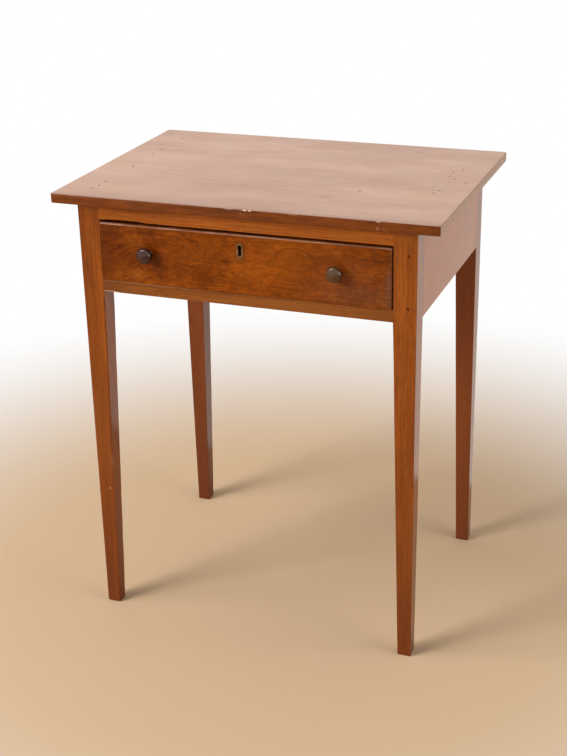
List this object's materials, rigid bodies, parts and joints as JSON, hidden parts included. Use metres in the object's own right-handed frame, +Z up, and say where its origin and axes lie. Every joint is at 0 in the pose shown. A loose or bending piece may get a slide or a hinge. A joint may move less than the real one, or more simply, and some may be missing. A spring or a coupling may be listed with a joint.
{
  "type": "one-drawer tavern table",
  "caption": "Small cherry tavern table with an overhanging board top, square tapered legs, flush aprons and a shallow frieze drawer with turned knobs and a keyhole.",
  "frame": {"origin": "on the floor, under the middle of the whole table's box, knobs included", "axes": "+X to the right seen from the drawer side, +Y to the back, +Z up; the drawer opens along -Y"},
  "size_m": [0.61, 0.444, 0.723],
  "materials": {
    "top_cherry": "worn satin shellac",
    "frame_cherry": "satin shellac",
    "drawer_front_cherry": "satin shellac over figured grain",
    "secondary_wood": "bare planed wood gone brown",
    "dark_turned_wood": "dark polished turning",
    "keyhole_brass": "dull old brass",
    "lock_iron": "dark wrought iron",
    "nail_iron": "dark cut iron"
  },
  "bodies": {
    "frame": {"back_apron": "frame_cherry", "back_left_leg": "frame_cherry", "back_right_leg": "frame_cherry", "front_bottom_rail": "frame_cherry", "front_left_leg": "frame_cherry", "front_right_leg": "frame_cherry", "front_top_rail": "frame_cherry", "guide_nails": "nail_iron", "kicker_nails": "nail_iron", "left_apron": "frame_cherry", "left_drawer_guide": "secondary_wood", "left_drawer_stop": "secondary_wood", "left_kicker": "secondary_wood", "left_runner": "secondary_wood", "leg_nails": "nail_iron", "right_apron": "frame_cherry", "right_drawer_guide": "secondary_wood", "right_drawer_stop": "secondary_wood", "right_kicker": "secondary_wood", "right_runner": "secondary_wood", "runner_nails": "nail_iron", "stop_nails": "nail_iron", "top_board": "top_cherry", "top_nails": "nail_iron"},
    "drawer": {"drawer_front": "drawer_front_cherry", "drawer_left_side": "secondary_wood", "drawer_right_side": "secondary_wood", "drawer_back": "secondary_wood", "drawer_bottom": "secondary_wood", "drawer_bottom_nails": "nail_iron", "left_knob": "dark_turned_wood", "right_knob": "dark_turned_wood", "escutcheon": "keyhole_brass", "lock_plate": "lock_iron", "lock_case": "lock_iron", "lock_key_pin": "lock_iron", "lock_screws": "nail_iron"},
    "lock_bolt": {"lock_bolt": "lock_iron"}
  },
  "joints": [
    {"name": "drawer_slide", "type": "slide", "parent": "frame", "child": "drawer", "axis": [0, -1, 0], "range_m": [0, 0.3]},
    {"name": "lock_bolt_slide", "type": "slide", "parent": "drawer", "child": "lock_bolt", "axis": [0, 0, 1], "range_m": [0, 0.01]}
  ]
}
